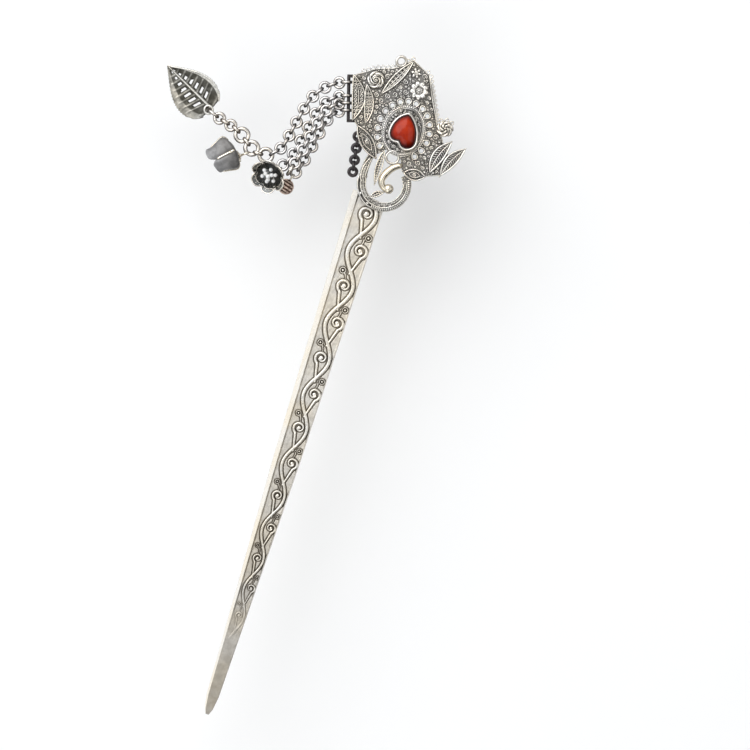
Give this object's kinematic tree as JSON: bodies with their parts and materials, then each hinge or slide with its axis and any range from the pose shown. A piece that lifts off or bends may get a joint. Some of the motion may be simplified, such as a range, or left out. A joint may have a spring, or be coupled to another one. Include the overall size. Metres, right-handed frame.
{
  "type": "decorative hair pin",
  "caption": "Hair pin with a long tapered relief blade, an openwork flower head around a heart stone, and a jointed chain tassel of leaf and flower charms.",
  "frame": {"origin": "on the back face of the blade, on its centreline, at its wide end under the head", "axes": "+Y along the blade towards the head, +Z out of the front face, +X to the right seen from the front; the pin lies on its flat back at z = 0"},
  "size_m": [0.0804, 0.1783, 0.0085],
  "materials": {
    "silver": "antique, satin",
    "oxidised_silver": "blackened",
    "polished_silver": "polished",
    "red_stone": "polished cabochon",
    "frosted_grey": "frosted",
    "white_beads": "polished"
  },
  "bodies": {
    "pin": {"blade": "silver", "backplate": "oxidised_silver", "lap_rivets": "polished_silver", "bezel_cup": "polished_silver", "heart_stone": "red_stone", "rope_ring": "silver", "halo_lace": "silver", "wing_leaf_1": "silver", "wing_leaf_2": "silver", "eye_leaf_left": "silver", "eye_leaf_right": "silver", "crescent_scroll": "silver", "beaded_edge": "polished_silver", "curl_scroll": "polished_silver", "teardrop_loop": "polished_silver", "inner_fronds": "silver", "feather_right_1": "silver", "feather_right_2": "silver", "right_rim": "polished_silver", "crest_leaf": "silver", "rose_left": "silver", "daisy_top": "silver", "bud_flower_top": "silver", "rosette_right": "silver", "top_eyelet": "polished_silver", "scroll_fill": "silver", "chain_bar": "oxidised_silver", "edge_eyelet": "oxidised_silver"},
    "outer_strand_a": {"outer_strand_a": "silver"},
    "outer_strand_b": {"outer_strand_b": "silver"},
    "outer_strand_c": {"outer_strand_c": "silver"},
    "outer_strand_d": {"outer_strand_d": "silver"},
    "middle_strand_a": {"middle_strand_a": "silver"},
    "middle_strand_b": {"middle_strand_b": "silver"},
    "middle_strand_c": {"middle_strand_c": "silver"},
    "upper_strand_a": {"upper_strand_a": "silver"},
    "upper_strand_b": {"upper_strand_b": "silver"},
    "upper_strand_c": {"upper_strand_c": "silver"},
    "inner_strand_a": {"inner_strand_a": "silver"},
    "inner_strand_b": {"inner_strand_b": "silver"},
    "inner_strand_c": {"inner_strand_c": "silver"},
    "jump_ring_1": {"jump_ring_1": "polished_silver"},
    "jump_ring_2": {"jump_ring_2": "polished_silver"},
    "jump_ring_3": {"jump_ring_3": "polished_silver"},
    "connector_1": {"connector_1": "polished_silver"},
    "connector_2": {"connector_2": "polished_silver"},
    "leaf_bail": {"leaf_bail": "polished_silver"},
    "leaf_charm": {"leaf_charm": "silver"},
    "end_ring": {"end_ring": "polished_silver"},
    "edge_chain_a": {"edge_chain_a": "oxidised_silver"},
    "edge_chain_b": {"edge_chain_b": "oxidised_silver"},
    "tulip": {"tulip_cap": "polished_silver", "tulip_flower": "frosted_grey"},
    "bell": {"bell_cap": "polished_silver", "bell_flower": "oxidised_silver", "bell_stamens": "white_beads"},
    "bud": {"bud_cap": "polished_silver", "bud_bead": "silver"}
  },
  "joints": [
    {"name": "outer_strand_a_on_bar", "type": "hinge", "parent": "pin", "child": "outer_strand_a", "pos_m": [-0.01395, 0.02952, 0.0026], "axis": [-0.2857, 0.9583, 0], "range_deg": [-50, 60]},
    {"name": "outer_strand_b_bend", "type": "hinge", "parent": "outer_strand_a", "child": "outer_strand_b", "pos_m": [-0.02026, 0.02548, 0.00162], "axis": [-0.7552, 0.6555, 0], "range_deg": [-50, 50]},
    {"name": "outer_strand_c_bend", "type": "hinge", "parent": "outer_strand_b", "child": "outer_strand_c", "pos_m": [-0.02329, 0.01825, 0.00162], "axis": [-0.9803, 0.1977, 0], "range_deg": [-40, 40]},
    {"name": "outer_strand_d_bend", "type": "hinge", "parent": "outer_strand_c", "child": "outer_strand_d", "pos_m": [-0.02486, 0.01045, 0.00162], "axis": [-0.9803, 0.1977, 0], "range_deg": [-40, 40]},
    {"name": "middle_strand_a_on_bar", "type": "hinge", "parent": "pin", "child": "middle_strand_a", "pos_m": [-0.01295, 0.02617, 0.0026], "axis": [-0.2857, 0.9583, 0], "range_deg": [-60, 0]},
    {"name": "middle_strand_b_bend", "type": "hinge", "parent": "middle_strand_a", "child": "middle_strand_b", "pos_m": [-0.01879, 0.02164, 0.00162], "axis": [-0.8617, 0.5074, 0], "range_deg": [-45, 0]},
    {"name": "middle_strand_c_bend", "type": "hinge", "parent": "middle_strand_b", "child": "middle_strand_c", "pos_m": [-0.02082, 0.01401, 0.00162], "axis": [-0.9803, 0.1977, 0], "range_deg": [-40, 0]},
    {"name": "upper_strand_a_on_bar", "type": "hinge", "parent": "pin", "child": "upper_strand_a", "pos_m": [-0.01241, 0.02435, 0.0026], "axis": [-0.2857, 0.9583, 0], "range_deg": [0, 60]},
    {"name": "upper_strand_b_bend", "type": "hinge", "parent": "upper_strand_a", "child": "upper_strand_b", "pos_m": [-0.01779, 0.01951, 0.00375], "axis": [-0.9256, 0.3785, 0], "range_deg": [0, 45]},
    {"name": "upper_strand_c_bend", "type": "hinge", "parent": "upper_strand_b", "child": "upper_strand_c", "pos_m": [-0.01955, 0.01178, 0.00375], "axis": [-0.9803, 0.1977, 0], "range_deg": [0, 40]},
    {"name": "inner_strand_a_on_bar", "type": "hinge", "parent": "pin", "child": "inner_strand_a", "pos_m": [-0.01186, 0.02253, 0.0026], "axis": [-0.2857, 0.9583, 0], "range_deg": [-50, 0]},
    {"name": "inner_strand_b_bend", "type": "hinge", "parent": "inner_strand_a", "child": "inner_strand_b", "pos_m": [-0.01673, 0.01729, 0.00162], "axis": [-0.9648, 0.2631, 0], "range_deg": [-35, 0]},
    {"name": "inner_strand_c_bend", "type": "hinge", "parent": "inner_strand_b", "child": "inner_strand_c", "pos_m": [-0.01835, 0.0095, 0.00162], "axis": [-0.9803, 0.1977, 0], "range_deg": [-30, 0]},
    {"name": "jump_ring_1_swing", "type": "hinge", "parent": "outer_strand_d", "child": "jump_ring_1", "pos_m": [-0.02778, 0.00546, 0.00162], "axis": [0, 0, 1], "range_deg": [-50, 35]},
    {"name": "jump_ring_2_lift", "type": "hinge", "parent": "jump_ring_1", "child": "jump_ring_2", "pos_m": [-0.03053, 0.00492, 0.00162], "axis": [-0.0353, 0.9994, 0], "range_deg": [-40, 50]},
    {"name": "jump_ring_3_lift", "type": "hinge", "parent": "jump_ring_2", "child": "jump_ring_3", "pos_m": [-0.03431, 0.00665, 0.00162], "axis": [-0.5589, -0.8292, 0], "range_deg": [-50, 40]},
    {"name": "connector_1_lift", "type": "hinge", "parent": "jump_ring_3", "child": "connector_1", "pos_m": [-0.03784, 0.00894, 0.00162], "axis": [0.4692, 0.8831, 0], "range_deg": [-40, 50]},
    {"name": "connector_2_lift", "type": "hinge", "parent": "connector_1", "child": "connector_2", "pos_m": [-0.04107, 0.00997, 0.00162], "axis": [-0.2416, -0.9704, 0], "range_deg": [-50, 40]},
    {"name": "leaf_bail_lift", "type": "hinge", "parent": "connector_2", "child": "leaf_bail", "pos_m": [-0.04437, 0.011, 0.00162], "axis": [0.3417, 0.9398, 0], "range_deg": [-40, 50]},
    {"name": "leaf_charm_swing", "type": "hinge", "parent": "leaf_bail", "child": "leaf_charm", "pos_m": [-0.04639, 0.01173, 0.00162], "axis": [0, 0, 1], "range_deg": [-60, 60]},
    {"name": "tulip_swing", "type": "hinge", "parent": "jump_ring_2", "child": "tulip", "pos_m": [-0.03375, 0.00423, 0.00162], "axis": [-0.866, 0.5, 0], "range_deg": [-30, 50]},
    {"name": "bell_swing", "type": "hinge", "parent": "middle_strand_c", "child": "bell", "pos_m": [-0.02452, 0.00281, 0.00162], "axis": [-0.8538, 0.5206, 0], "range_deg": [-30, 25]},
    {"name": "bud_swing", "type": "hinge", "parent": "inner_strand_c", "child": "bud", "pos_m": [-0.02055, 0.00188, 0.00162], "axis": [-0.9328, 0.3603, 0], "range_deg": [-60, 0]},
    {"name": "end_ring_swing", "type": "hinge", "parent": "upper_strand_c", "child": "end_ring", "pos_m": [-0.02134, 0.00403, 0.00375], "axis": [-0.9636, 0.2674, 0], "range_deg": [0, 60]},
    {"name": "edge_chain_a_swing", "type": "hinge", "parent": "pin", "child": "edge_chain_a", "pos_m": [-0.00756, 0.01741, 0.00145], "axis": [0, 0, 1], "range_deg": [-35, 15]},
    {"name": "edge_chain_b_swing", "type": "hinge", "parent": "edge_chain_a", "child": "edge_chain_b", "pos_m": [-0.00659, 0.01129, 0.00145], "axis": [0, 0, 1], "range_deg": [-30, 20]}
  ]
}
